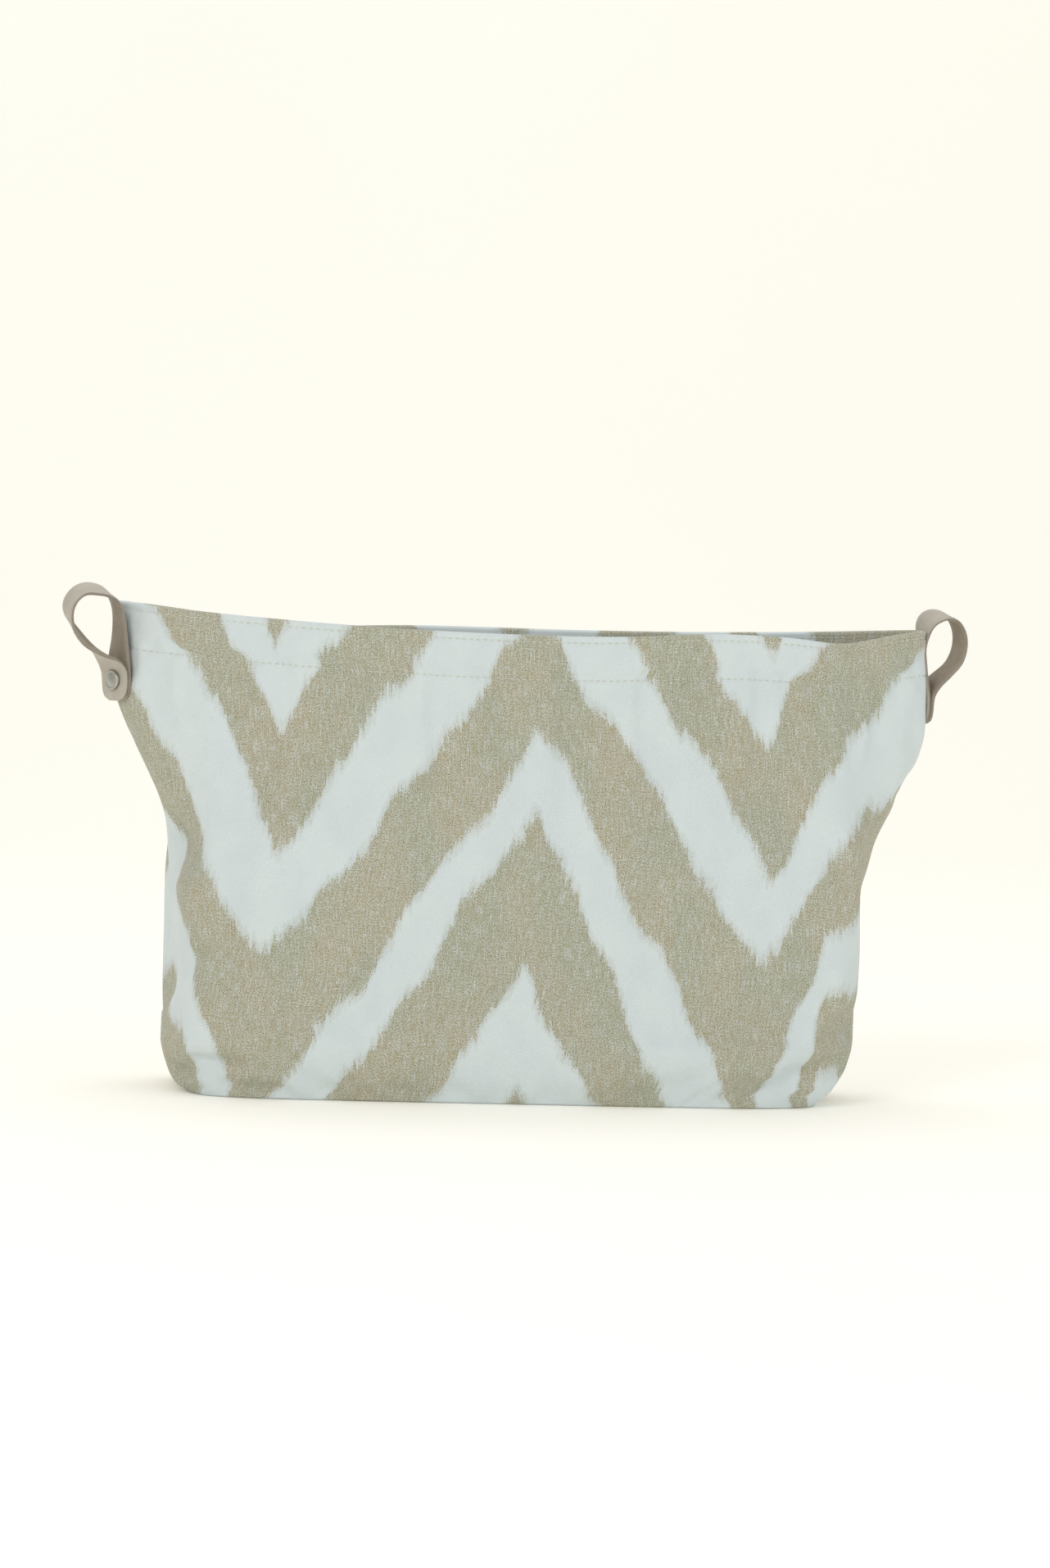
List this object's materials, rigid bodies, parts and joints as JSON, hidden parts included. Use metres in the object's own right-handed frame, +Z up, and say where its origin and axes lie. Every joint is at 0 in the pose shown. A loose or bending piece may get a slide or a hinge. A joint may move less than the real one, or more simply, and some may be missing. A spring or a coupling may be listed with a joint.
{
  "type": "fabric storage bin",
  "caption": "Open-topped soft fabric storage bin with a boxed base, a top-stitched turned-in hem and a riveted leather loop handle at each end.",
  "frame": {"origin": "centre of the underside of the base", "axes": "+Z up, X along the width from end to end, -Y towards the front"},
  "size_m": [0.4529, 0.11, 0.2468],
  "materials": {
    "printed_cloth": "plain weave printed with a beige ikat chevron on white",
    "interlining": "stiff felted interlining",
    "lining": "plain white cotton",
    "thread": "white polyester thread",
    "strap_leather": "pale grey-beige grained leather",
    "rivet_metal": "satin nickel"
  },
  "bodies": {
    "bin": {"front_panel": "printed_cloth", "back_panel": "printed_cloth", "base_panel": "printed_cloth", "front_interlining": "interlining", "back_interlining": "interlining", "base_stiffener": "interlining", "front_lining": "lining", "back_lining": "lining", "base_lining": "lining", "rim_topstitch": "thread", "hem_topstitch": "thread", "left_rivet_cap": "rivet_metal", "left_rivet_post": "rivet_metal", "right_rivet_cap": "rivet_metal", "right_rivet_post": "rivet_metal"},
    "left_handle": {"left_strap": "strap_leather"},
    "right_handle": {"right_strap": "strap_leather"}
  },
  "joints": [
    {"name": "left_swivel", "type": "hinge", "parent": "bin", "child": "left_handle", "pos_m": [-0.1984, -0.00499, 0.2], "axis": [-0.8192, -0.5736, 0], "range_deg": [-75, 75]},
    {"name": "right_swivel", "type": "hinge", "parent": "bin", "child": "right_handle", "pos_m": [0.19965, 0.00245, 0.2], "axis": [0.9397, 0.342, 0], "range_deg": [-75, 75]}
  ]
}
